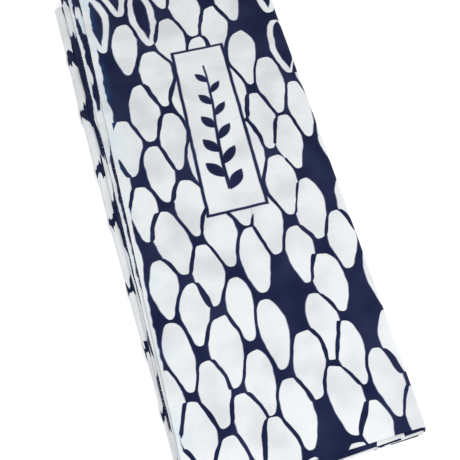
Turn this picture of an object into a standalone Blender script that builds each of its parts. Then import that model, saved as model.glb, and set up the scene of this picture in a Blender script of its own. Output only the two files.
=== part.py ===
"""Thin cotton hand towel, 36 cm wide and 100 cm long, folded in half three times and laid flat.

One piece of cloth makes the whole thing. Its length is folded into eight layers, so the folded
towel is one selvedge-to-selvedge width long (Y) and an eighth of the cut length wide (X). The
cloth is followed from the cut end of the top layer, back and forth through every fold, to the
other cut end. The right edge is a nest of four folds. The left edge is a loose fan: two cut
ends, a single fold, and a nest of two folds that reaches furthest out at the far end.
"""
from collections import namedtuple
import math

import bpy

# Driving sizes in metres. Y runs from the near end to the far end, and X = 0 is the right edge.
CLOTH_WIDTH = 0.360
CLOTH_LENGTH = 1.000
LAYERS = 8
PANEL = CLOTH_LENGTH / LAYERS
SHEET = 0.0010
LAYER_GAP = 0.00025
PITCH = SHEET + LAYER_GAP

# Each row is a cut end or a fold, in the order in which the cloth passes through them.
# Layers count from 1, the top one. depth is the place in its nest, from 0, the outermost fold.
# near_out and far_out say how far it reaches past one panel, at the near and the far end.
# bow is how far its edge swings outward halfway along. near_y is its end nearest the viewer,
# far_y is how far its other end lies past CLOTH_WIDTH, and corner is how far its far corner is
# drawn back where the cloth rounds off. All are in mm.
Turn = namedtuple("Turn", "side layer_in layer_out depth near_out far_out bow near_y far_y corner")
TURNS = (
    Turn("left", None, 1, 0, -0.4, 6.8, 0.6, -7.9, -8.0, 0.0),
    Turn("right", 1, 8, 0, 0.0, 0.0, 0.2, 0.6, 1.0, 0.0),
    Turn("left", 8, 5, 0, 1.0, 24.9, 1.4, -13.4, -13.6, 3.0),
    Turn("right", 5, 4, 3, 0.0, 0.0, 0.2, -1.3, -1.0, 0.0),
    Turn("left", 4, 3, 0, 0.6, 19.6, -0.5, -12.3, -8.5, 0.0),
    Turn("right", 3, 6, 2, 0.0, 0.0, 0.2, -1.2, 0.0, 0.0),
    Turn("left", 6, 7, 1, 1.0, 24.9, 1.4, -12.2, -14.5, 2.0),
    Turn("right", 7, 2, 1, 0.0, 0.0, 0.2, -1.1, -0.5, 0.0),
    Turn("left", 2, None, 0, 0.2, 14.8, -0.5, -14.0, -7.5, 0.0),
)

# Slow waves that keep the edges and the height from being ruler-straight.
Wave = namedtuple("Wave", "height length start")
RIGHT_EDGE_WAVE = Wave(0.00025, 0.210, 0.030)
LEFT_EDGE_WAVE = Wave(0.00030, 0.190, 0.060)
SWELL_ACROSS = Wave(0.012, 0.150, 0.030)
SWELL_ALONG = Wave(0.012, 0.260, 0.080)

ROWS_ALONG = 24
STEPS_ACROSS = 5
STEPS_PER_TURN = {0.5: 4, 1.5: 6, 2.5: 8, 3.5: 10}
CORNER_REACH = 0.008

MM = 0.001
CLOTH_COLOUR = (0.86, 0.875, 0.89, 1.0)
CLOTH_ROUGHNESS = 0.9


def wave_at(wave, distance):
    """Height of a slow sine wave at a distance along the cloth."""
    return wave.height * math.sin(2 * math.pi * (distance - wave.start) / wave.length)


def swell(x, y):
    """How much thicker the loose stack is at one place, as a factor on every height."""
    across = wave_at(SWELL_ACROSS, x)
    along = wave_at(SWELL_ALONG, y)
    return 1.0 + SWELL_ACROSS.height + SWELL_ALONG.height + across + along


def layer_height(layer):
    """Height of the middle of a layer above the surface that the towel rests on."""
    return SHEET / 2 + (LAYERS - layer) * PITCH


def ends_of(turn, setback):
    """Y of the near and the far end of the cloth at a turn, setback metres from its nose."""
    rounding = max(0.0, 1.0 - setback / CORNER_REACH) ** 2
    near = turn.near_y * MM
    far = CLOTH_WIDTH + (turn.far_y - turn.corner * rounding) * MM
    return near, far


def nose_x(turn, share, y):
    """X of the outermost middle line of a fold or cut end, share of the way to the far end."""
    inset = turn.depth * PITCH
    bow = turn.bow * MM * math.sin(math.pi * share)
    if turn.side == "right":
        return bow - SHEET / 2 - inset + wave_at(RIGHT_EDGE_WAVE, y)
    out = (turn.near_out + (turn.far_out - turn.near_out) * share) * MM + bow
    edge = -(PANEL + out) + wave_at(LEFT_EDGE_WAVE, y)
    if turn.layer_in is None or turn.layer_out is None:
        return edge
    return edge + SHEET / 2 + inset


def turn_stations(turn):
    """Points round a turn: angle from the layer it leaves to the one it reaches, and radius."""
    if turn.layer_in is None or turn.layer_out is None:
        layer = turn.layer_out or turn.layer_in
        return [(None, 0.0, layer_height(layer))]
    radius = abs(layer_height(turn.layer_in) - layer_height(turn.layer_out)) / 2
    middle = (layer_height(turn.layer_in) + layer_height(turn.layer_out)) / 2
    steps = STEPS_PER_TURN[abs(turn.layer_in - turn.layer_out) / 2]
    return [(math.pi * step / steps, radius, middle) for step in range(steps + 1)]


def cloth_stations():
    """Follow the cloth through all its folds.

    Gives one entry for each line of points along Y: the two turns it lies between with its
    share of the way from one to the other, its place round a turn, and the way its face looks.
    """
    stations = []
    for number, turn in enumerate(TURNS):
        outward = 1.0 if turn.side == "right" else -1.0
        upward = 1.0
        if turn.layer_in is not None and turn.layer_out is not None:
            upward = 1.0 if turn.layer_out < turn.layer_in else -1.0
        for angle, radius, middle in turn_stations(turn):
            stations.append(("turn", turn, angle, radius, middle, outward, upward))
        if number + 1 < len(TURNS):
            for step in range(1, STEPS_ACROSS):
                stations.append(("flat", turn, TURNS[number + 1], step / STEPS_ACROSS))
    return stations


def turn_point(turn, angle, radius, middle, outward, upward, share):
    """Middle of the cloth at a place round a turn, and its normal in the X-Z plane."""
    near, far = ends_of(turn, 0.0 if angle is None else radius * (1.0 - math.sin(angle)))
    y = near + (far - near) * share
    x_nose = nose_x(turn, share, y)
    if angle is None:
        facing = 1.0 if turn.layer_in is None else -1.0
        return (x_nose, y, middle), (0.0, facing)
    x = x_nose + outward * radius * (math.sin(angle) - 1.0)
    z = middle - upward * radius * math.cos(angle)
    away = -1.0 if (outward > 0) == (upward > 0) else 1.0
    normal = (away * outward * math.sin(angle), -away * upward * math.cos(angle))
    return (x, y, z), normal


def cloth_points(share):
    """The folded section, share of the way to the far end, as points and normals."""
    stations = cloth_stations()
    points = [None] * len(stations)
    for index, station in enumerate(stations):
        if station[0] == "turn":
            points[index] = turn_point(*station[1:], share)
    for index, station in enumerate(stations):
        if station[0] == "flat":
            _, _, _, part = station
            first = index - round(part * STEPS_ACROSS)
            last = first + STEPS_ACROSS
            (start, normal), (end, _) = points[first], points[last]
            middle = [a + (b - a) * part for a, b in zip(start, end)]
            points[index] = (tuple(middle), normal)
    return points


def lifted(x, y, z):
    """A point with its height scaled by the swell of the stack."""
    return x, y, z * swell(x, y)


def cloth_mesh():
    """One closed sheet: two faces of the cloth, its two selvedges and its two cut ends."""
    vertices = []
    faces = []
    count = len(cloth_stations())
    for row in range(ROWS_ALONG + 1):
        for (x, y, z), (nx, nz) in cloth_points(row / ROWS_ALONG):
            half = SHEET / 2
            vertices.append(lifted(x + nx * half, y, z + nz * half))
            vertices.append(lifted(x - nx * half, y, z - nz * half))

    def corner(row, station, side):
        return (row * count + station) * 2 + side

    for row in range(ROWS_ALONG):
        for station in range(count - 1):
            square = [(row, station), (row, station + 1), (row + 1, station + 1), (row + 1, station)]
            faces.append([corner(r, s, 0) for r, s in square])
            faces.append([corner(r, s, 1) for r, s in reversed(square)])
    for station in range(count - 1):
        last = ROWS_ALONG
        faces.append([corner(0, station, 0), corner(0, station, 1),
                      corner(0, station + 1, 1), corner(0, station + 1, 0)])
        faces.append([corner(last, station, 0), corner(last, station + 1, 0),
                      corner(last, station + 1, 1), corner(last, station, 1)])
    for row in range(ROWS_ALONG):
        end = count - 1
        faces.append([corner(row, 0, 0), corner(row + 1, 0, 0),
                      corner(row + 1, 0, 1), corner(row, 0, 1)])
        faces.append([corner(row, end, 0), corner(row, end, 1),
                      corner(row + 1, end, 1), corner(row + 1, end, 0)])
    return vertices, faces


def centred(vertices):
    """Move the sheet so that the origin is under the middle of its box."""
    middle_x = (min(v[0] for v in vertices) + max(v[0] for v in vertices)) / 2
    middle_y = (min(v[1] for v in vertices) + max(v[1] for v in vertices)) / 2
    return [(x - middle_x, y - middle_y, z) for x, y, z in vertices]


def cotton_material():
    """Undyed face of the cotton: matt and slightly cool white."""
    material = bpy.data.materials.new("dyed_cotton")
    material.use_nodes = True
    shader = material.node_tree.nodes["Principled BSDF"]
    shader.inputs["Base Color"].default_value = CLOTH_COLOUR
    shader.inputs["Roughness"].default_value = CLOTH_ROUGHNESS
    shader.inputs["Metallic"].default_value = 0.0
    return material


def clear_scene():
    """Remove whatever the open file holds."""
    for item in list(bpy.data.objects):
        bpy.data.objects.remove(item, do_unlink=True)


def build_towel():
    """The folded cloth, the only piece of the towel."""
    vertices, faces = cloth_mesh()
    mesh = bpy.data.meshes.new("towel_cloth")
    mesh.from_pydata(centred(vertices), [], faces)
    mesh.update()
    mesh.materials.append(cotton_material())
    towel = bpy.data.objects.new("towel_cloth", mesh)
    bpy.context.scene.collection.objects.link(towel)
    return towel


clear_scene()
build_towel()
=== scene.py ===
"""Thin cotton hand towel with a dyed scale pattern, folded in half three times and laid flat."""
from collections import namedtuple
import math
import random

import bpy
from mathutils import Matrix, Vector, noise


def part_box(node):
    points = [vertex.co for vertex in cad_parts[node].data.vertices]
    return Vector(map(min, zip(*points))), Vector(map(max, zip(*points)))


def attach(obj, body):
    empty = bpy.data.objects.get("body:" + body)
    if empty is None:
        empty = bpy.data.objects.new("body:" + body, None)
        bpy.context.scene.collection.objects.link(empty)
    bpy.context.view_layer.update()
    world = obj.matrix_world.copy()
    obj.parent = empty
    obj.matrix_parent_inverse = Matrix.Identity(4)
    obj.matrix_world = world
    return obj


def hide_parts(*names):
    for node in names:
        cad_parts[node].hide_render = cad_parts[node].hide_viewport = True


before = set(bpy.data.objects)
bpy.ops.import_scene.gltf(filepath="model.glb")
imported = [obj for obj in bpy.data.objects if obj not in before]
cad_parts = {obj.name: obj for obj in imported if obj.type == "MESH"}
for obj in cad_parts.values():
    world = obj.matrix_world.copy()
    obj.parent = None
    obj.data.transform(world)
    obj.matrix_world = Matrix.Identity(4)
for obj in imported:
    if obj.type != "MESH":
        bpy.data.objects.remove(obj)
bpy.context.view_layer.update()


# The cloth: one length of thin plain-weave cotton with selvedges on its long sides and raw cut
# ends. It is dyed through, then folded in half three times, so that eight layers lie loosely on
# each other and the pattern runs on round every fold.
MM = 0.001
CLOTH_WIDE = 0.360
CLOTH_LONG = 1.000
LAYERS = 8
PANEL = CLOTH_LONG / LAYERS
CLOTH_THICK = 0.00045
LOWEST_LAYER = 0.00040
LAYER_PITCH = 0.00108

# Each row is a cut end or a fold, in the order in which the cloth passes through them. Layers
# count from 1, the top one, and depth is the place in a nest of folds, from the outermost.
# near_out and far_out are its reach past one panel at the near and the far end, bow is how far
# it swings out halfway, near_y and far_y are where its two ends lie past the plain width, and
# corner is how far the far corner is rounded off. All are in mm, and steps are round the fold.
Fold = namedtuple("Fold", "side layer_in layer_out depth near_out far_out bow near_y far_y corner steps")
FOLDS = (
    Fold("left", None, 1, 0, -0.4, 6.8, 0.6, -7.9, -8.0, 0.0, 0),
    Fold("right", 1, 8, 0, 0.0, 0.0, 0.2, 0.6, 1.0, 0.0, 18),
    Fold("left", 8, 5, 0, 1.0, 24.9, 1.4, -13.4, -13.6, 3.0, 12),
    Fold("right", 5, 4, 3, 0.0, 0.0, 0.2, -1.2, -1.0, 0.0, 6),
    Fold("left", 4, 3, 0, 0.6, 19.6, -0.5, -12.3, -8.5, 0.0, 8),
    Fold("right", 3, 6, 2, 0.0, 0.0, 0.2, -1.7, 0.0, 0.0, 10),
    Fold("left", 6, 7, 1, 1.0, 24.9, 1.4, -12.2, -14.5, 2.0, 8),
    Fold("right", 7, 2, 1, 0.0, 0.0, 0.2, -0.6, -0.5, 0.0, 14),
    Fold("left", 2, None, 0, 0.2, 14.8, -0.5, -14.0, -7.5, 0.0, 0),
)
NEAREST_Y = -0.0140
RIGHTMOST_X = 0.0004
CORNER_REACH = 0.008
ROWS_ALONG = 200
COLUMNS_ON_TOP = 44
COLUMNS_BELOW = 15

# Soft relief of the cloth: how high or deep it is, and how long across and along the towel.
Relief = namedtuple("Relief", "height across along")
STACK_SWELL = Relief(0.00035, 0.070, 0.160)
SOFT_CREASES = Relief(0.00034, 0.019, 0.095)
EDGE_CRINKLES = Relief(0.00028, 0.0042, 0.018)
CUT_END_WANDER = Relief(0.00045, 0.0, 0.022)
FOLD_WANDER = Relief(0.00040, 0.0, 0.034)
EDGE_CRINKLE_REACH = 0.016

cad_low, cad_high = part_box("towel_cloth")
FOLD_ORIGIN = Vector((cad_high.x - RIGHTMOST_X, cad_low.y - NEAREST_Y, 0.0))


def layer_height(layer):
    """Height of the middle of a layer above the surface that the towel rests on."""
    return LOWEST_LAYER + (LAYERS - layer) * LAYER_PITCH


def is_cut_end(fold):
    """True for the two ends of the cloth, which don't turn."""
    return fold.layer_in is None or fold.layer_out is None


def fold_ends(fold, setback):
    """Y of the near and the far end of the cloth at a fold, setback metres in from its nose."""
    rounding = max(0.0, 1.0 - setback / CORNER_REACH) ** 2
    return fold.near_y * MM, CLOTH_WIDE + (fold.far_y - fold.corner * rounding) * MM


def wander(fold, y):
    """How far a fold or cut end strays sideways at one place along it."""
    number = FOLDS.index(fold)
    relief = CUT_END_WANDER if is_cut_end(fold) else FOLD_WANDER
    slow = noise.noise(Vector((number * 3.7, y / relief.along, 0.5)))
    quick = noise.noise(Vector((number * 5.1, y / relief.along * 4.3, 8.5)))
    side = 0.45 if fold.side == "right" else 1.0
    return relief.height * side * (slow + 0.3 * quick)


def nose_x(fold, share, y):
    """X of the outermost middle line of a fold or cut end, share of the way to the far end."""
    inset = fold.depth * LAYER_PITCH
    bow = fold.bow * MM * math.sin(math.pi * share)
    if fold.side == "right":
        return bow - CLOTH_THICK / 2 - inset + wander(fold, y)
    out = (fold.near_out + (fold.far_out - fold.near_out) * share) * MM + bow
    if is_cut_end(fold):
        return wander(fold, y) - PANEL - out
    return wander(fold, y) - PANEL - out + CLOTH_THICK / 2 + inset


def fold_points(fold, share):
    """Points round a fold with the way the cloth's first face looks there, in the X-Z plane."""
    outward = 1.0 if fold.side == "right" else -1.0
    if is_cut_end(fold):
        near, far = fold_ends(fold, 0.0)
        y = near + (far - near) * share
        facing = 1.0 if fold.layer_in is None else -1.0
        return [((nose_x(fold, share, y), y, layer_height(fold.layer_in or fold.layer_out)), (0.0, facing))]
    start, end = layer_height(fold.layer_in), layer_height(fold.layer_out)
    radius = abs(start - end) / 2
    upward = 1.0 if end > start else -1.0
    away = -outward * upward
    points = []
    for step in range(fold.steps + 1):
        angle = math.pi * step / fold.steps
        near, far = fold_ends(fold, radius * (1.0 - math.sin(angle)))
        y = near + (far - near) * share
        x = nose_x(fold, share, y) + outward * radius * (math.sin(angle) - 1.0)
        z = (start + end) / 2 - upward * radius * math.cos(angle)
        points.append(((x, y, z), (away * outward * math.sin(angle), -away * upward * math.cos(angle))))
    return points


def folded_row(share):
    """One line of points through all eight layers, share of the way to the far end."""
    row = []
    turned = [fold_points(fold, share) for fold in FOLDS]
    for number, points in enumerate(turned):
        row += points
        if number + 1 == len(turned):
            break
        (start, facing), (end, _) = points[-1], turned[number + 1][0]
        columns = COLUMNS_ON_TOP if number == 0 else COLUMNS_BELOW
        for column in range(1, columns):
            part = (1.0 - math.cos(math.pi * column / columns)) / 2
            place = tuple(a + (b - a) * part for a, b in zip(start, end))
            row.append((place, facing))
    return row


def lengths_along(row):
    """Distance from the first cut end to each point of a row, as metres of flat cloth."""
    lengths = [0.0]
    for (before, _), (after, _) in zip(row, row[1:]):
        lengths.append(lengths[-1] + (Vector(after) - Vector(before)).length)
    return [CLOTH_LONG * length / lengths[-1] for length in lengths]


def relief_at(along, across, x):
    """How far the cloth stands off its plain fold at a flat place, towards its first face."""
    crease_place = Vector((along / SOFT_CREASES.across, across / SOFT_CREASES.along, 3.0))
    creases = noise.fractal(crease_place, 0.6, 2.0, 3)
    crinkle_place = Vector((along / EDGE_CRINKLES.across, across / EDGE_CRINKLES.along, 7.0))
    crinkles = noise.noise(crinkle_place)
    edge = max(0.0, 1.0 - (x + PANEL + EDGE_CRINKLE_REACH) / EDGE_CRINKLE_REACH)
    return SOFT_CREASES.height * creases + EDGE_CRINKLES.height * crinkles * min(edge, 1.0)


def swollen(x, y, z):
    """A height with the slow swell of the loose stack, nothing at the bottom and most on top."""
    top = layer_height(1)
    swell = noise.noise(Vector((x / STACK_SWELL.across, y / STACK_SWELL.along, 1.0)))
    return z + STACK_SWELL.height * swell * max(0.0, z) / top


def folded_cloth():
    """Corners, squares and flat places of the cloth: two faces, two selvedges, two cut ends."""
    corners, flat_places = [], []
    lengths = lengths_along(folded_row(0.5))
    for number in range(ROWS_ALONG + 1):
        share = number / ROWS_ALONG
        across = CLOTH_WIDE * share
        for ((x, y, z), (nx, nz)), along in zip(folded_row(share), lengths):
            relief = relief_at(along, across, x)
            for half in (CLOTH_THICK / 2, -CLOTH_THICK / 2):
                off = relief + half
                height = max(swollen(x, y, z + nz * off), 0.0)
                corners.append(FOLD_ORIGIN + Vector((x + nx * off, y, height)))
                flat_places.append((along, across))
    columns = len(lengths)
    squares = []

    def corner(row, column, face):
        return (row * columns + column) * 2 + face

    for row in range(ROWS_ALONG):
        for column in range(columns - 1):
            ring = ((row, column), (row, column + 1), (row + 1, column + 1), (row + 1, column))
            squares.append([corner(r, c, 0) for r, c in ring])
            squares.append([corner(r, c, 1) for r, c in reversed(ring)])
    last = ROWS_ALONG
    for column in range(columns - 1):
        squares.append([corner(0, column, 0), corner(0, column, 1),
                        corner(0, column + 1, 1), corner(0, column + 1, 0)])
        squares.append([corner(last, column, 0), corner(last, column + 1, 0),
                        corner(last, column + 1, 1), corner(last, column, 1)])
    end = columns - 1
    for row in range(ROWS_ALONG):
        squares.append([corner(row, 0, 0), corner(row + 1, 0, 0), corner(row + 1, 0, 1), corner(row, 0, 1)])
        squares.append([corner(row, end, 0), corner(row, end, 1),
                        corner(row + 1, end, 1), corner(row + 1, end, 0)])
    return corners, squares, flat_places


def mesh_piece(name, corners, faces):
    """A smooth-shaded mesh object whose sharp edges stay sharp."""
    mesh = bpy.data.meshes.new(name)
    mesh.from_pydata(corners, [], faces)
    mesh.update()
    mesh.shade_smooth()
    mesh.set_sharp_from_angle(angle=math.radians(50))
    piece = bpy.data.objects.new(name, mesh)
    bpy.context.scene.collection.objects.link(piece)
    return piece


def lay_flat_places(piece, flat_places):
    """Keep where each corner lies on the flat cloth, in metres, for the dye and the weave."""
    layer = piece.data.uv_layers.new(name="flat_cloth")
    for loop in piece.data.loops:
        layer.data[loop.index].uv = flat_places[loop.vertex_index]


# The dyed pattern is staggered columns of long scales that were kept white. Sizes are in mm on
# the flat cloth: U runs from the top cut end, and V from the near selvedge.
COLUMN_PITCH = 23.4
COLUMN_PITCH_GROWTH = 0.012
FAN_CENTRE_U = 40.0
FAN_REACH = 420.0
ROW_PITCH = 41.0
ROW_PITCH_GROWTH = 0.052
FIRST_COLUMN = 0.47
FIRST_ROW = 0.38
LINE_BETWEEN = 2.5
CORNER_ROUNDING = 3.0
NEIGHBOUR_REACH = 1.0
BEYOND_STEEPNESS = 3.0
LINE_VARIES = 0.9
RUN_STEP = (0.95, 1.20)
RUN_JOINS = 7.0
DYE_BLEED = 0.30
BLUE_EDGE_REACH = 2.2

# The stencil is cut by hand. Its lines stray slowly and shake a little, in mm, and no two scales
# are the same: each pair below is the spread and the least value of a chance, as a share of a
# pitch or, for the length, as a factor.
STRAY_SIZE = 34.0
STRAY_U = 1.7
STRAY_V = 2.4
SHAKE_SIZE = 9.0
SHAKE_U = 0.45
SHAKE_V = 0.50
HAND_LEAN = (0.20, -0.09)
HAND_ASIDE = (0.10, -0.05)
HAND_LENGTH = (0.14, 0.94)
HAND_SLIP = (0.09, 0.455)
HAND_SKEW = (0.36, -0.18)
WIDTH_SPREAD = 0.13
WIDTH_AT_NEAR = 0.91
WIDTH_LOSS_PER_ROW = 0.012

# Half-width of a scale as a share of the column pitch, from its narrow near tip to its broad
# far end. The first number is the place along one row pitch, and every width is OUTLINE_FOOT
# too large, so that the gaps between scales lie below nothing.
OUTLINE_FOOT = 0.110
SCALE_OUTLINE = (
    (0.000, 0.000), (0.048, 0.000), (0.066, 0.165), (0.100, 0.225), (0.150, 0.267), (0.240, 0.328),
    (0.370, 0.408), (0.480, 0.448), (0.580, 0.456), (0.650, 0.450), (0.750, 0.408), (0.840, 0.342),
    (0.895, 0.278), (0.925, 0.220), (0.948, 0.000), (1.000, 0.000),
)


def maths_for(tree):
    """Give a function that adds one Math node to a tree and hands back its output."""

    def maths(operation, *values):
        node = tree.nodes.new("ShaderNodeMath")
        node.operation = operation
        for socket, value in zip(node.inputs, values):
            if isinstance(value, (int, float)):
                socket.default_value = value
            else:
                tree.links.new(value, socket)
        return node.outputs[0]

    return maths


def vector_of(tree, x, y, z=0.0):
    """Put three numbers or outputs together as one vector output."""
    node = tree.nodes.new("ShaderNodeCombineXYZ")
    for socket, value in zip(node.inputs, (x, y, z)):
        if isinstance(value, (int, float)):
            socket.default_value = value
        else:
            tree.links.new(value, socket)
    return node.outputs[0]


def cloth_noise(tree, place, size, detail, seed):
    """Soft noise from -1 to 1 whose lumps are about size mm across, as its two outputs."""
    node = tree.nodes.new("ShaderNodeTexNoise")
    node.noise_dimensions = "4D"
    node.inputs["Scale"].default_value = 1.0 / size
    node.inputs["Detail"].default_value = detail
    node.inputs["Roughness"].default_value = 0.5
    node.inputs["W"].default_value = seed
    tree.links.new(place, node.inputs["Vector"])
    split = tree.nodes.new("ShaderNodeSeparateColor")
    tree.links.new(node.outputs["Color"], split.inputs[0])
    maths = maths_for(tree)
    return [maths("MULTIPLY_ADD", split.outputs[n], 4.0, -2.0) for n in (0, 1)]


def cell_chance(tree, column, row, seed):
    """Three unrelated numbers from 0 to 1 for each scale of the pattern."""
    node = tree.nodes.new("ShaderNodeTexWhiteNoise")
    node.noise_dimensions = "3D"
    tree.links.new(vector_of(tree, column, row, seed), node.inputs["Vector"])
    split = tree.nodes.new("ShaderNodeSeparateColor")
    tree.links.new(node.outputs["Color"], split.inputs[0])
    return split.outputs[0], split.outputs[1], split.outputs[2]


def scale_half_width(tree, place):
    """Half-width of a scale at a place from 0 to 1 along its row."""
    node = tree.nodes.new("ShaderNodeFloatCurve")
    curve = node.mapping.curves[0]
    curve.points[0].location = SCALE_OUTLINE[0]
    curve.points[-1].location = SCALE_OUTLINE[-1]
    for point in SCALE_OUTLINE[1:-1]:
        curve.points.new(*point)
    for point in curve.points:
        point.handle_type = "AUTO_CLAMPED"
    node.mapping.update()
    tree.links.new(place, node.inputs["Value"])
    return node.outputs[0]


# Scales of the top layer that differ, by the column and row of their middle: left out, so that
# a navy patch stays, or kept only as a white ring.
LEFT_OUT = (
    (4.5, 7.5), (4.5, 6.5), (5.0, 4.0), (3.5, 2.5), (5.0, 2.0), (1.0, 6.0), (0.5, 2.5), (3.5, 0.5),
    (5.0, 0.0),
)
RINGS = ((0.5, 7.5), (1.0, 7.0), (1.5, 7.5), (2.0, 7.0), (5.0, 6.0), (5.0, 7.0))
RING_WIDE = 3.2
RING_SPREAD = 0.4
FAR_OUTSIDE = 100.0


def is_among(maths, column, row, scales):
    """1 in the cells of the scales that are named, and 0 elsewhere."""
    found = 0.0
    for named_column, named_row in scales:
        same_column = maths("COMPARE", column, named_column, 0.1)
        same_row = maths("COMPARE", row, named_row, 0.1)
        found = maths("MAXIMUM", found, maths("MULTIPLY", same_column, same_row))
    return found


def one_set_of_scales(tree, column, row, shift):
    """How far inside a scale a place lies, and how far inside a ring's core, in mm.

    This is for every second column: a shift of 0.5 gives the others.
    """
    maths = maths_for(tree)
    column_here = maths("ADD", column, shift)
    row_here = maths("ADD", row, shift)
    cell_column = maths("FLOOR", column_here)
    cell_row = maths("FLOOR", row_here)
    side = maths("SUBTRACT", maths("SUBTRACT", column_here, cell_column), 0.5)
    place = maths("SUBTRACT", row_here, cell_row)
    wide, lean, slip = cell_chance(tree, cell_column, cell_row, 11.0 + shift)
    aside, longer, skew = cell_chance(tree, cell_column, cell_row, 47.0 + shift)

    # Chance moves, leans, stretches and skews each scale a little.
    from_middle = maths("SUBTRACT", place, 0.5)
    leaning = maths("MULTIPLY", maths("MULTIPLY_ADD", lean, *HAND_LEAN), from_middle)
    side = maths("ADD", side, leaning)
    side = maths("ADD", side, maths("MULTIPLY_ADD", aside, *HAND_ASIDE))
    stretch = maths("MULTIPLY_ADD", longer, *HAND_LENGTH)
    place = maths("MULTIPLY_ADD", from_middle, stretch, maths("MULTIPLY_ADD", slip, *HAND_SLIP))
    place = maths("ADD", place, maths("MULTIPLY", side, maths("MULTIPLY_ADD", skew, *HAND_SKEW)))
    across = maths("ABSOLUTE", side)
    usual_width = maths("MULTIPLY_ADD", cell_row, -WIDTH_LOSS_PER_ROW, WIDTH_AT_NEAR)
    width = maths("MULTIPLY_ADD", wide, WIDTH_SPREAD, usual_width)
    half = maths("SUBTRACT", maths("MULTIPLY", scale_half_width(tree, place), width), OUTLINE_FOOT)
    inside = maths("SUBTRACT", half, across)

    # The middle of the cell says whether the scale is left out or kept as a ring.
    middle_column = maths("ADD", cell_column, 0.5 - shift)
    middle_row = maths("ADD", cell_row, 0.5 - shift)
    left_out = is_among(maths, middle_column, middle_row, LEFT_OUT)
    ring = is_among(maths, middle_column, middle_row, RINGS)
    inside = maths("MULTIPLY", maths("SUBTRACT", inside, left_out), COLUMN_PITCH)
    inside = maths("MULTIPLY_ADD", ring, RING_SPREAD, inside)
    core = maths("SUBTRACT", inside, RING_WIDE)
    core = maths("MULTIPLY_ADD", maths("SUBTRACT", ring, 1.0), FAR_OUTSIDE, core)
    return inside, core


# The title panel is a long white rectangle with a thin navy outline near the top cut end. It
# holds a plain leafy twig in navy.
TITLE_MIDDLE = (61.2, 218.0)
TITLE_HALF = (15.0, 64.4)
TITLE_TAPER = 0.0094
TITLE_TILT = 0.026
TITLE_OUTLINE = 2.1
TITLE_SHAKE = 0.22
TWIG_HALF_LENGTH = 50.0
TWIG_STEM_HALF = 0.95
STEM_TAPER = 0.006
STEM_SWAY = 1.6
SWAY_PER_MM = 0.045
LEAVES_PER_SIDE = 5
FIRST_LEAF = 4.0
LEAF_SHRINKS = (-0.085, 1.05)
LEAF_OFF = 50.0
LEAF_PITCH = 19.0
LEAF_LENGTH = 16.0
LEAF_HALF = 3.4
LEAF_LEAN = 0.62


def title_panel(tree, u, v):
    """How far inside the panel a place lies, and how far inside the twig on it, in mm."""
    maths = maths_for(tree)
    off_u = maths("SUBTRACT", u, TITLE_MIDDLE[0])
    off_v = maths("SUBTRACT", v, TITLE_MIDDLE[1])
    x = maths("SUBTRACT", off_u, maths("MULTIPLY", off_v, TITLE_TILT))
    y = maths("MULTIPLY_ADD", off_u, TITLE_TILT, off_v)
    half = maths("MULTIPLY_ADD", y, -TITLE_TAPER, TITLE_HALF[0])
    over_x = maths("SUBTRACT", half, maths("ABSOLUTE", x))
    over_y = maths("SUBTRACT", TITLE_HALF[1], maths("ABSOLUTE", y))
    inside = maths("MINIMUM", over_x, over_y)

    # The stem sways a little, and thins towards its tip.
    sway = maths("MULTIPLY", maths("SINE", maths("MULTIPLY", y, SWAY_PER_MM)), STEM_SWAY)
    from_stem = maths("SUBTRACT", x, sway)
    stem_half = maths("MULTIPLY_ADD", y, -STEM_TAPER, TWIG_STEM_HALF)
    stem = maths("SUBTRACT", stem_half, maths("ABSOLUTE", from_stem))
    stem = maths("MINIMUM", stem, maths("SUBTRACT", TWIG_HALF_LENGTH, maths("ABSOLUTE", y)))

    # Leaves stand on the stem by turns to the left and the right, smaller towards the tip.
    side = maths("SIGN", from_stem)
    along = maths("MULTIPLY_ADD", side, LEAF_PITCH / 4, y)
    along = maths("ADD", along, TWIG_HALF_LENGTH - FIRST_LEAF)
    number = maths("FLOOR", maths("DIVIDE", along, LEAF_PITCH))
    rise = maths("SUBTRACT", along, maths("MULTIPLY", number, LEAF_PITCH))
    out = maths("ABSOLUTE", from_stem)
    size = maths("MULTIPLY_ADD", number, *LEAF_SHRINKS)
    cos_lean, sin_lean = math.cos(LEAF_LEAN), math.sin(LEAF_LEAN)
    run = maths("MULTIPLY_ADD", rise, cos_lean, maths("MULTIPLY", out, sin_lean))
    aside = maths("SUBTRACT", maths("MULTIPLY", out, cos_lean), maths("MULTIPLY", rise, sin_lean))
    share = maths("DIVIDE", run, maths("MULTIPLY", size, LEAF_LENGTH))
    bulge = maths("MULTIPLY", share, maths("SUBTRACT", 1.0, share))
    leaf_half = maths("MULTIPLY", bulge, maths("MULTIPLY", size, 4.0 * LEAF_HALF))
    leaf = maths("SUBTRACT", leaf_half, maths("ABSOLUTE", aside))
    not_last = maths("LESS_THAN", number, LEAVES_PER_SIDE - 0.5)
    kept = maths("MULTIPLY", maths("GREATER_THAN", number, -0.5), not_last)
    leaf = maths("SUBTRACT", leaf, maths("MULTIPLY", maths("SUBTRACT", 1.0, kept), LEAF_OFF))
    return inside, maths("MAXIMUM", stem, leaf)


# The cut ends keep an undyed margin, because the dye is poured inside them. Its edge wavers,
# and the dye next to it is thinner and bluer.
CUT_MARGIN = 1.5
CUT_MARGIN_GROWTH = 0.000026
CUT_MARGIN_WAVER = 0.9
THIN_DYE_REACH = 4.5
WASHED_REACH = 14.0

NAVY = (0.0065, 0.0105, 0.0440, 1.0)
NAVY_WORN = (0.0190, 0.0250, 0.0700, 1.0)
BLUE_THIN = (0.0100, 0.0450, 0.1250, 1.0)
BLUE_BLEED = (0.2600, 0.3200, 0.6200, 1.0)
BLUE_WASH = (0.5600, 0.7000, 0.7800, 1.0)
COTTON_WHITE = (0.770, 0.793, 0.806, 1.0)
# The next grey is painted shade. Soft blotches mix it into the cotton white, standing for the shading of
# the gently rumpled cloth and the navy of the layer below showing through.
COTTON_PAINTED_SHADE = (0.640, 0.656, 0.676, 1.0)

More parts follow.
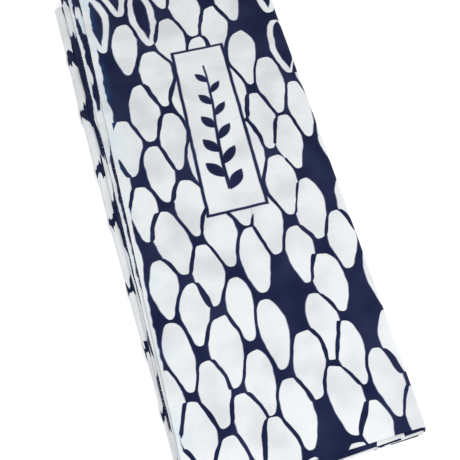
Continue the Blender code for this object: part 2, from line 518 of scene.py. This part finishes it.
# Fine lengthwise pleats beside the left folds, in mm, and the patches that they pull the pattern
# into. A pair is for the inner strips and for the outermost fold, but GAP_STEP is from and to.
PLEAT_WIDTH = 1.9
PLEAT_LENGTH = 15.0
PLEAT_FULLNESS = 0.6
PLEAT_TEETH = 6.0
STREAK_WIDTH = 5.0
STREAK_LENGTH = 46.0
GAPS_PER_ROW = 1.17
FIRST_GAP = 0.885
LAST_GAP_V = 330.0
GAP_STEP = (0.84, 1.04)
GAP_SPREAD = 0.07
GAP_DARKNESS = 1.9
ROW_PULL = (-1.3, -3.0)
STREAK_PULL = (5.2, 3.4)
STRIP_WHITENESS = 1.2
STRIP_DARKENS = 0.008
OUTER_WHITENESS = 6.0
OUTER_RAGGED = 2.0
OUTER_FOLD_U = 253.5
OUTER_WHITE_REACH = 5.0
OUTER_LAYER_REACH = 16.0
BUNCHED_REACH = 14.0
SMOOTH_REACH = 60.0
PLEAT_DEPTH = 0.0005

# Near ends of the layers below the top one, in mm: where the right-hand fold of the top layer
# and the second layer begin, how far along the bands reach, the white piece on the second layer
# and the dark pieces on the sixth and the third, which are partly navy dye and partly painted
# shadow in the gaps between the layers by the right-hand folds. A piece is its middle and half its
# length, and a tone is how blotchy and how white its band is, below nothing where it is navy.
FIRST_FOLD_U = 125.0
SECOND_LAYER_U = 866.0
NEAR_BAND = 6.5
WHITE_PIECE_U = (898.5, 7.0)
NAVY_AND_SHADOW_PIECES_U = ((634.0, 8.0), (603.0, 6.5))
BAND_RAGGED_U = 1.6
BAND_RAGGED_V = 1.4
SECOND_TONE = (2.4, -4.4)
BELOW_TONE = (3.2, 2.0)
WHITE_PIECE_TONE = 8.0
NAVY_AND_SHADOW_TONE = -9.0

# Plain weave: one thread over and one under, with a thread every 0.42 mm each way.
THREAD_PITCH = 0.42
WEAVE_DEPTH = 0.00006
YARN_STREAKS = 0.020
YARN_MOTTLE = 0.014


def blend_colours(tree, share, first, second):
    """Mix two colours or outputs by a share from 0 to 1."""
    node = tree.nodes.new("ShaderNodeMix")
    node.data_type = "RGBA"
    tree.links.new(share, node.inputs["Factor"])
    for socket, value in ((node.inputs["A"], first), (node.inputs["B"], second)):
        if isinstance(value, tuple):
            socket.default_value = value
        else:
            tree.links.new(value, socket)
    return node.outputs["Result"]


def soft_step(tree, value, low, high):
    """0 below low, 1 above high, and a smooth slope between them."""
    node = tree.nodes.new("ShaderNodeMapRange")
    node.interpolation_type = "SMOOTHSTEP"
    node.inputs["From Min"].default_value = low
    node.inputs["From Max"].default_value = high
    tree.links.new(value, node.inputs["Value"])
    return node.outputs["Result"]


def mix_amounts(maths, share, first, second):
    """First where share is 0 and second where it is 1, for plain amounts."""
    return maths("MULTIPLY_ADD", share, maths("SUBTRACT", second, first), first)


def plain_weave(tree, u, v):
    """Height of the woven threads from 0 to 1."""
    maths = maths_for(tree)
    turn = math.pi / THREAD_PITCH
    heights = []
    for crossing, running in ((u, v), (v, u)):
        number = maths("FLOOR", maths("DIVIDE", crossing, THREAD_PITCH))
        crown = maths("ABSOLUTE", maths("SINE", maths("MULTIPLY", crossing, turn)))
        phase = maths("MULTIPLY_ADD", running, turn, maths("MULTIPLY", number, math.pi))
        if crossing is v:
            phase = maths("ADD", phase, math.pi)
        over = maths("MULTIPLY_ADD", maths("SINE", phase), 0.5, 0.5)
        heights.append(maths("MULTIPLY", crown, over))
    return maths("MAXIMUM", *heights)


def dyed_cotton():
    """Plain-weave cotton with the scale pattern dyed through it."""
    material = bpy.data.materials.new("dyed_cotton")
    material.use_nodes = True
    tree = material.node_tree
    shader = tree.nodes["Principled BSDF"]
    maths = maths_for(tree)

    flat = tree.nodes.new("ShaderNodeUVMap")
    flat.uv_map = "flat_cloth"
    split = tree.nodes.new("ShaderNodeSeparateXYZ")
    tree.links.new(flat.outputs["UV"], split.inputs[0])
    u = maths("MULTIPLY", split.outputs["X"], 1.0 / MM)
    v = maths("MULTIPLY", split.outputs["Y"], 1.0 / MM)
    place = vector_of(tree, u, v)

    # Beside the left folds and the lower cut end the cloth is bunched into fine pleats, which
    # break the pattern into long streaks.
    pleat_place = vector_of(tree, maths("MULTIPLY", u, PLEAT_LENGTH / PLEAT_WIDTH), v)
    pleat_u, pleat_v = cloth_noise(tree, pleat_place, size=PLEAT_LENGTH, detail=2.0, seed=44.0)
    from_fold = maths("PINGPONG", u, PANEL / MM)
    from_fold = maths("MAXIMUM", from_fold, maths("SUBTRACT", SMOOTH_REACH, u))
    bunched = soft_step(tree, from_fold, BUNCHED_REACH, 0.6 * BUNCHED_REACH)
    full_u = maths("MULTIPLY_ADD", maths("MULTIPLY", pleat_u, PLEAT_FULLNESS), bunched, u)
    full_v = maths("MULTIPLY_ADD", maths("MULTIPLY", pleat_v, PLEAT_TEETH), bunched, v)

    # The lines stray and shake, and the title panel only shakes.
    stray_u, stray_v = cloth_noise(tree, place, size=STRAY_SIZE, detail=1.0, seed=2.0)
    shake_u, shake_v = cloth_noise(tree, place, size=SHAKE_SIZE, detail=1.0, seed=5.0)
    moved_u = maths("MULTIPLY_ADD", stray_u, STRAY_U, maths("MULTIPLY", shake_u, SHAKE_U))
    moved_v = maths("MULTIPLY_ADD", stray_v, STRAY_V, maths("MULTIPLY", shake_v, SHAKE_V))
    cut_u = maths("ADD", full_u, moved_u)
    cut_v = maths("ADD", full_v, moved_v)
    title_u = maths("MULTIPLY_ADD", shake_u, TITLE_SHAKE, u)
    title_v = maths("MULTIPLY_ADD", shake_v, TITLE_SHAKE, v)

    # Columns fan out and rows grow longer towards the far selvedge.
    fan = maths("SINE", maths("MULTIPLY", maths("SUBTRACT", cut_u, FAN_CENTRE_U), 2 * math.pi / FAN_REACH))
    fan = maths("MULTIPLY", fan, FAN_REACH / (2 * math.pi) * COLUMN_PITCH_GROWTH / COLUMN_PITCH ** 2)
    column = maths("SUBTRACT", maths("DIVIDE", cut_u, COLUMN_PITCH), maths("MULTIPLY", fan, cut_v))
    column = maths("ADD", column, FIRST_COLUMN)
    grown = maths("MULTIPLY_ADD", cut_v, ROW_PITCH_GROWTH / ROW_PITCH, 1.0)
    row = maths("DIVIDE", maths("LOGARITHM", grown, math.e), ROW_PITCH_GROWTH)
    row = maths("ADD", row, FIRST_ROW)
    even_scales, even_cores = one_set_of_scales(tree, column, row, 0.0)
    odd_scales, odd_cores = one_set_of_scales(tree, column, row, 0.5)

    # A navy line stays between crowded neighbours, but here and there the resist ran, and two
    # scales join.
    run_here, line_width = cloth_noise(tree, place, size=20.0, detail=0.0, seed=9.0)
    ran = soft_step(tree, run_here, *RUN_STEP)
    line = maths("MULTIPLY_ADD", line_width, LINE_VARIES, LINE_BETWEEN)
    line = maths("MULTIPLY_ADD", ran, -RUN_JOINS, line)
    beyond_even = maths("MINIMUM", maths("ADD", even_scales, NEIGHBOUR_REACH), 0.0)
    beyond_odd = maths("MINIMUM", maths("ADD", odd_scales, NEIGHBOUR_REACH), 0.0)
    apart_beyond = maths("MULTIPLY", maths("SUBTRACT", beyond_even, beyond_odd), BEYOND_STEEPNESS - 1.0)
    apart = maths("ABSOLUTE", maths("ADD", maths("SUBTRACT", even_scales, odd_scales), apart_beyond))
    widest = maths("MAXIMUM", even_scales, odd_scales)
    white = maths("SMOOTH_MIN", widest, maths("SUBTRACT", apart, line), CORNER_ROUNDING)
    cores = maths("MAXIMUM", even_cores, odd_cores)
    white = maths("MINIMUM", white, maths("MULTIPLY", cores, -1.0))

    # The pleats beside the folds pull the pattern into navy and white patches with long teeth.
    # They follow the rows, and the outermost fold is white with a navy gap at each row.
    blot, blot_other = cloth_noise(tree, place, size=6.0, detail=1.0, seed=71.0)
    coarse_place = vector_of(tree, maths("MULTIPLY", full_u, STREAK_LENGTH / STREAK_WIDTH), full_v)
    coarse, coarse_other = cloth_noise(tree, coarse_place, size=STREAK_LENGTH, detail=1.0, seed=310.0)
    from_outer = maths("ABSOLUTE", maths("SUBTRACT", full_u, OUTER_FOLD_U))
    from_outer = maths("MULTIPLY_ADD", coarse_other, -OUTER_RAGGED, from_outer)
    outer_white = soft_step(tree, from_outer, OUTER_WHITE_REACH, 0.5 * OUTER_WHITE_REACH)
    gap_place = maths("MULTIPLY_ADD", row, GAPS_PER_ROW, -FIRST_GAP)
    gap_wave = maths("COSINE", maths("MULTIPLY", gap_place, 2 * math.pi))
    gap_here = soft_step(tree, maths("MULTIPLY_ADD", from_outer, GAP_SPREAD, gap_wave), *GAP_STEP)
    gap_here = maths("MULTIPLY", gap_here, maths("LESS_THAN", v, LAST_GAP_V))
    outer_white = maths("MULTIPLY", outer_white, maths("MULTIPLY_ADD", gap_here, -GAP_DARKNESS, 1.0))
    streaked = maths("MULTIPLY_ADD", full_v, -STRIP_DARKENS, STRIP_WHITENESS)
    at_outer = soft_step(tree, from_outer, OUTER_LAYER_REACH, 0.6 * OUTER_LAYER_REACH)
    streaked = maths("MULTIPLY_ADD", gap_wave, mix_amounts(maths, at_outer, *ROW_PULL), streaked)
    streaked = maths("MULTIPLY_ADD", coarse, mix_amounts(maths, at_outer, *STREAK_PULL), streaked)
    streaked = maths("MULTIPLY_ADD", outer_white, OUTER_WHITENESS, streaked)
    white = mix_amounts(maths, bunched, white, streaked)

    # The near ends of the layers come out from under the top one. The second layer is navy
    # there with one white piece, and the layers below it are mostly white.
    band_u = maths("MULTIPLY_ADD", blot, BAND_RAGGED_U, u)
    band_v = maths("MULTIPLY_ADD", blot_other, BAND_RAGGED_V, v)
    in_band = maths("LESS_THAN", band_v, NEAR_BAND)
    second_near = maths("MULTIPLY", maths("GREATER_THAN", u, SECOND_LAYER_U), in_band)
    white_piece = maths("COMPARE", band_u, *WHITE_PIECE_U)
    second_tone = maths("MULTIPLY_ADD", blot, *SECOND_TONE)
    second_tone = maths("MULTIPLY_ADD", white_piece, WHITE_PIECE_TONE, second_tone)
    white = mix_amounts(maths, second_near, white, second_tone)
    below = maths("MULTIPLY", maths("LESS_THAN", u, SECOND_LAYER_U), maths("GREATER_THAN", u, FIRST_FOLD_U))
    below_near = maths("MULTIPLY", below, in_band)
    # The two dark pieces on the sixth and the third layer are partly navy dye and partly painted shadow.
    # They darken the near bands where the gaps between the layers lie in shade by the right-hand folds.
    navy_and_shadow_piece = maths("MAXIMUM", *[maths("COMPARE", band_u, *piece) for piece in NAVY_AND_SHADOW_PIECES_U])
    below_tone = maths("MULTIPLY_ADD", blot, *BELOW_TONE)
    below_tone = maths("MULTIPLY_ADD", navy_and_shadow_piece, NAVY_AND_SHADOW_TONE, below_tone)
    white = mix_amounts(maths, below_near, white, below_tone)

    inside_panel, twig = title_panel(tree, title_u, title_v)
    panel_white = maths("MINIMUM", inside_panel, maths("MULTIPLY", twig, -1.0))
    beyond_outline = maths("SUBTRACT", maths("MULTIPLY", inside_panel, -1.0), TITLE_OUTLINE)
    white = maths("MAXIMUM", maths("MINIMUM", white, beyond_outline), panel_white)

    # Undyed margins at both cut ends.
    from_end = maths("MINIMUM", u, maths("SUBTRACT", CLOTH_LONG / MM, u))
    waver, fray = cloth_noise(tree, place, size=9.0, detail=3.0, seed=14.0)
    at_top_end = maths("LESS_THAN", u, CLOTH_LONG / MM / 2)
    growth = maths("MULTIPLY", at_top_end, CUT_MARGIN_GROWTH)
    margin = maths("MULTIPLY_ADD", maths("MULTIPLY", v, v), growth, CUT_MARGIN)
    margin = maths("ADD", margin, maths("MULTIPLY", waver, CUT_MARGIN_WAVER))
    white = maths("MAXIMUM", white, maths("SUBTRACT", margin, from_end))

    dyed = soft_step(tree, white, -DYE_BLEED, DYE_BLEED)
    bleed = soft_step(tree, white, -BLUE_EDGE_REACH * DYE_BLEED, 0.0)
    patchy, cloudy = cloth_noise(tree, place, size=24.0, detail=2.0, seed=21.0)
    worn = soft_step(tree, patchy, -0.6, 1.1)
    thin_here = soft_step(tree, maths("SUBTRACT", from_end, margin), THIN_DYE_REACH, 0.0)
    thin_here = maths("MULTIPLY", thin_here, soft_step(tree, fray, -0.4, 0.5))
    thin_here = maths("MULTIPLY", thin_here, maths("MULTIPLY", at_top_end, soft_step(tree, v, 90.0, 270.0)))
    navy = blend_colours(tree, worn, NAVY, NAVY_WORN)
    navy = blend_colours(tree, thin_here, navy, BLUE_THIN)
    edge_blue = blend_colours(tree, maths("MULTIPLY", bleed, 0.25), navy, BLUE_BLEED)
    # Painted shade: soft grey blotches about 24 mm across darken the white here and there. They stand for
    # the shading of the gently rumpled cloth and the navy of the layer below showing through the thin
    # cotton.
    painted_shade = soft_step(tree, cloudy, -0.5, 0.9)
    cotton = blend_colours(tree, painted_shade, COTTON_WHITE, COTTON_PAINTED_SHADE)
    washed = soft_step(tree, from_end, WASHED_REACH, 0.0)
    washed = maths("MAXIMUM", washed, maths("MULTIPLY", bunched, maths("SUBTRACT", 0.8, outer_white)))
    washed = maths("MULTIPLY", washed, soft_step(tree, patchy, -0.3, 0.9))
    cotton = blend_colours(tree, maths("MULTIPLY", washed, 0.75), cotton, BLUE_WASH)
    colour = blend_colours(tree, dyed, edge_blue, cotton)

    # Threads: uneven yarn gives faint streaks both ways.
    streak_place = vector_of(tree, maths("MULTIPLY", u, 6.0), maths("MULTIPLY", v, 0.35))
    streak_u, _ = cloth_noise(tree, streak_place, size=4.0, detail=2.0, seed=31.0)
    cross_place = vector_of(tree, maths("MULTIPLY", u, 0.35), maths("MULTIPLY", v, 6.0))
    streak_v, _ = cloth_noise(tree, cross_place, size=4.0, detail=2.0, seed=37.0)
    streaks = maths("ADD", streak_u, streak_v)
    mottle, _ = cloth_noise(tree, place, size=4.5, detail=2.0, seed=83.0)
    brightness = maths("MULTIPLY_ADD", streaks, YARN_STREAKS, 1.0)
    brightness = maths("MULTIPLY_ADD", mottle, YARN_MOTTLE, brightness)
    tint = tree.nodes.new("ShaderNodeVectorMath")
    tint.operation = "SCALE"
    tree.links.new(colour, tint.inputs[0])
    tree.links.new(brightness, tint.inputs["Scale"])
    tree.links.new(tint.outputs[0], shader.inputs["Base Color"])

    weave = plain_weave(tree, u, v)
    height = maths("MULTIPLY_ADD", streaks, 0.35, weave)
    pleats = tree.nodes.new("ShaderNodeBump")
    pleats.inputs["Strength"].default_value = 0.6
    pleats.inputs["Distance"].default_value = PLEAT_DEPTH
    tree.links.new(maths("MULTIPLY", pleat_u, bunched), pleats.inputs["Height"])
    bump = tree.nodes.new("ShaderNodeBump")
    bump.inputs["Strength"].default_value = 0.55
    bump.inputs["Distance"].default_value = WEAVE_DEPTH
    tree.links.new(height, bump.inputs["Height"])
    tree.links.new(pleats.outputs["Normal"], bump.inputs["Normal"])
    tree.links.new(bump.outputs["Normal"], shader.inputs["Normal"])

    roughness = maths("MULTIPLY_ADD", weave, -0.08, 0.94)
    tree.links.new(roughness, shader.inputs["Roughness"])
    shader.inputs["Specular IOR Level"].default_value = 0.12
    shader.inputs["Sheen Weight"].default_value = 0.03
    shader.inputs["Sheen Roughness"].default_value = 0.5
    return material


cloth_corners, cloth_squares, cloth_places = folded_cloth()
cloth = mesh_piece("folded_cloth", cloth_corners, cloth_squares)
lay_flat_places(cloth, cloth_places)
cotton = dyed_cotton()
cloth.data.materials.append(cotton)


# Cut-end threads: the raw ends of the cloth aren't hemmed, so short ends of the weft stand out
# of them, single and bent, along the top layer and the layer below it.
THREAD_EVERY = 0.0011
THREAD_RADIUS = 0.00007
THREAD_REACH = (0.0003, 0.0013)
THREAD_SIDES = 3
THREAD_BENDS = 3
THREAD_ROOT = 0.0002
THREAD_ASIDE = 0.9
THREAD_DROOP = (-0.35, 0.15)


def cut_end_threads():
    """Short bent tubes along both cut ends."""
    chance = random.Random(7)
    corners, faces = [], []
    columns = len(cloth_corners) // 2 // (ROWS_ALONG + 1)
    for end in (0, columns - 1):
        count = round(CLOTH_WIDE / THREAD_EVERY)
        for number in range(count):
            share = (number + chance.random()) / count
            row = min(int(share * ROWS_ALONG), ROWS_ALONG - 1)
            part = share * ROWS_ALONG - row
            here = [cloth_corners[((row + step) * columns + end) * 2 + face]
                    for step in (0, 1) for face in (0, 1)]
            near, far = (here[0] + here[1]) / 2, (here[2] + here[3]) / 2
            place = near.lerp(far, part)
            reach = chance.uniform(*THREAD_REACH)
            aside = chance.uniform(-THREAD_ASIDE, THREAD_ASIDE)
            bend = Vector((0.0, aside, chance.uniform(*THREAD_DROOP))) * reach
            first = len(corners)
            for step in range(THREAD_BENDS + 1):
                along = step / THREAD_BENDS
                middle = place + Vector((-reach * along + THREAD_ROOT, 0.0, 0.0)) + bend * along ** 2
                radius = THREAD_RADIUS * (1.0 - 0.5 * along)
                for side in range(THREAD_SIDES):
                    angle = 2 * math.pi * side / THREAD_SIDES
                    corners.append(middle + Vector((0.0, math.cos(angle), math.sin(angle))) * radius)
            for step in range(THREAD_BENDS):
                for side in range(THREAD_SIDES):
                    a = first + step * THREAD_SIDES + side
                    b = first + step * THREAD_SIDES + (side + 1) % THREAD_SIDES
                    faces.append((a, a + THREAD_SIDES, b + THREAD_SIDES, b))
            faces.append(tuple(range(first, first + THREAD_SIDES)))
            tip = first + THREAD_BENDS * THREAD_SIDES
            faces.append(tuple(reversed(range(tip, tip + THREAD_SIDES))))
    return corners, faces


def thread_cotton():
    """Loose cotton yarn: white, with the faint blue that crept into it."""
    material = bpy.data.materials.new("cut_thread_cotton")
    material.use_nodes = True
    tree = material.node_tree
    shader = tree.nodes["Principled BSDF"]
    where = tree.nodes.new("ShaderNodeTexCoord")
    scaled = tree.nodes.new("ShaderNodeVectorMath")
    scaled.operation = "SCALE"
    scaled.inputs["Scale"].default_value = 1000.0
    tree.links.new(where.outputs["Object"], scaled.inputs[0])
    tinted, _ = cloth_noise(tree, scaled.outputs[0], size=5.0, detail=2.0, seed=3.0)
    colour = blend_colours(tree, soft_step(tree, tinted, 0.1, 1.4), COTTON_WHITE, BLUE_BLEED)
    tree.links.new(colour, shader.inputs["Base Color"])
    shader.inputs["Roughness"].default_value = 0.9
    shader.inputs["Specular IOR Level"].default_value = 0.2
    return material


threads = mesh_piece("cut_end_threads", *cut_end_threads())
threads.data.materials.append(thread_cotton())
for piece in (cloth, threads):
    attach(piece, "root")
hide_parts("towel_cloth")


# The floor: a plain pale sheet of matt paper that reaches far past the towel. It lies just under
# the lowest layer, and glows a little so that it stays white in the soft light.
FLOOR_HALF = 3.0
FLOOR_DROP = 0.0001
FLOOR_WHITE = (0.97, 0.97, 0.97, 1.0)
FLOOR_GLOW = 0.22

floor = mesh_piece(
    "floor",
    [(-FLOOR_HALF, -FLOOR_HALF, -FLOOR_DROP), (FLOOR_HALF, -FLOOR_HALF, -FLOOR_DROP),
     (FLOOR_HALF, FLOOR_HALF, -FLOOR_DROP), (-FLOOR_HALF, FLOOR_HALF, -FLOOR_DROP)],
    [(0, 1, 2, 3)],
)
floor_paper = bpy.data.materials.new("floor_paper")
floor_paper.use_nodes = True
floor_shader = floor_paper.node_tree.nodes["Principled BSDF"]
floor_shader.inputs["Base Color"].default_value = FLOOR_WHITE
floor_shader.inputs["Roughness"].default_value = 1.0
floor_shader.inputs["Specular IOR Level"].default_value = 0.0
floor_shader.inputs["Emission Color"].default_value = FLOOR_WHITE
floor_shader.inputs["Emission Strength"].default_value = FLOOR_GLOW
floor.data.materials.append(floor_paper)


# Studio light: a bright white tent all round, and one broad soft lamp. The lamp stands above the
# near right side, and leaves faint shadows beside the layers.
TENT_STRENGTH = 0.68
LAMP_SIDE = 0.9
LAMP_POWER = 6.0
LAMP_PLACE = Vector((0.20, -0.60, 0.70))

tent = bpy.data.worlds.new("studio_tent")
tent.use_nodes = True
tent.node_tree.nodes["Background"].inputs["Color"].default_value = (1.0, 1.0, 1.0, 1.0)
tent.node_tree.nodes["Background"].inputs["Strength"].default_value = TENT_STRENGTH
bpy.context.scene.world = tent
lamp_light = bpy.data.lights.new("soft_lamp", "AREA")
lamp_light.shape = "SQUARE"
lamp_light.size = LAMP_SIDE
lamp_light.energy = LAMP_POWER
lamp = bpy.data.objects.new("soft_lamp", lamp_light)
lamp.location = LAMP_PLACE
lamp.rotation_euler = (-LAMP_PLACE).to_track_quat("-Z", "Y").to_euler()
bpy.context.scene.collection.objects.link(lamp)
bpy.context.scene.view_settings.view_transform = "Standard"


# Camera: it looks down on the towel from its near end and a little from the left, with a long
# lens, so that the far end runs out of the picture.
LOOK_AT = FOLD_ORIGIN + Vector((-0.070334, 0.141238, 0.0))
ELEVATION = math.radians(58.0)
YAW = 0.225046
DISTANCE = 0.490665
LENS = 65.17
SENSOR = 36.0

ahead = Vector((
    math.sin(YAW) * math.cos(ELEVATION),
    math.cos(YAW) * math.cos(ELEVATION),
    -math.sin(ELEVATION),
))
camera_lens = bpy.data.cameras.new("camera")
camera_lens.lens = LENS
camera_lens.sensor_width = SENSOR
camera = bpy.data.objects.new("camera", camera_lens)
camera.location = LOOK_AT - ahead * DISTANCE
camera.rotation_euler = ahead.to_track_quat("-Z", "Y").to_euler()
bpy.context.scene.collection.objects.link(camera)
bpy.context.scene.camera = camera
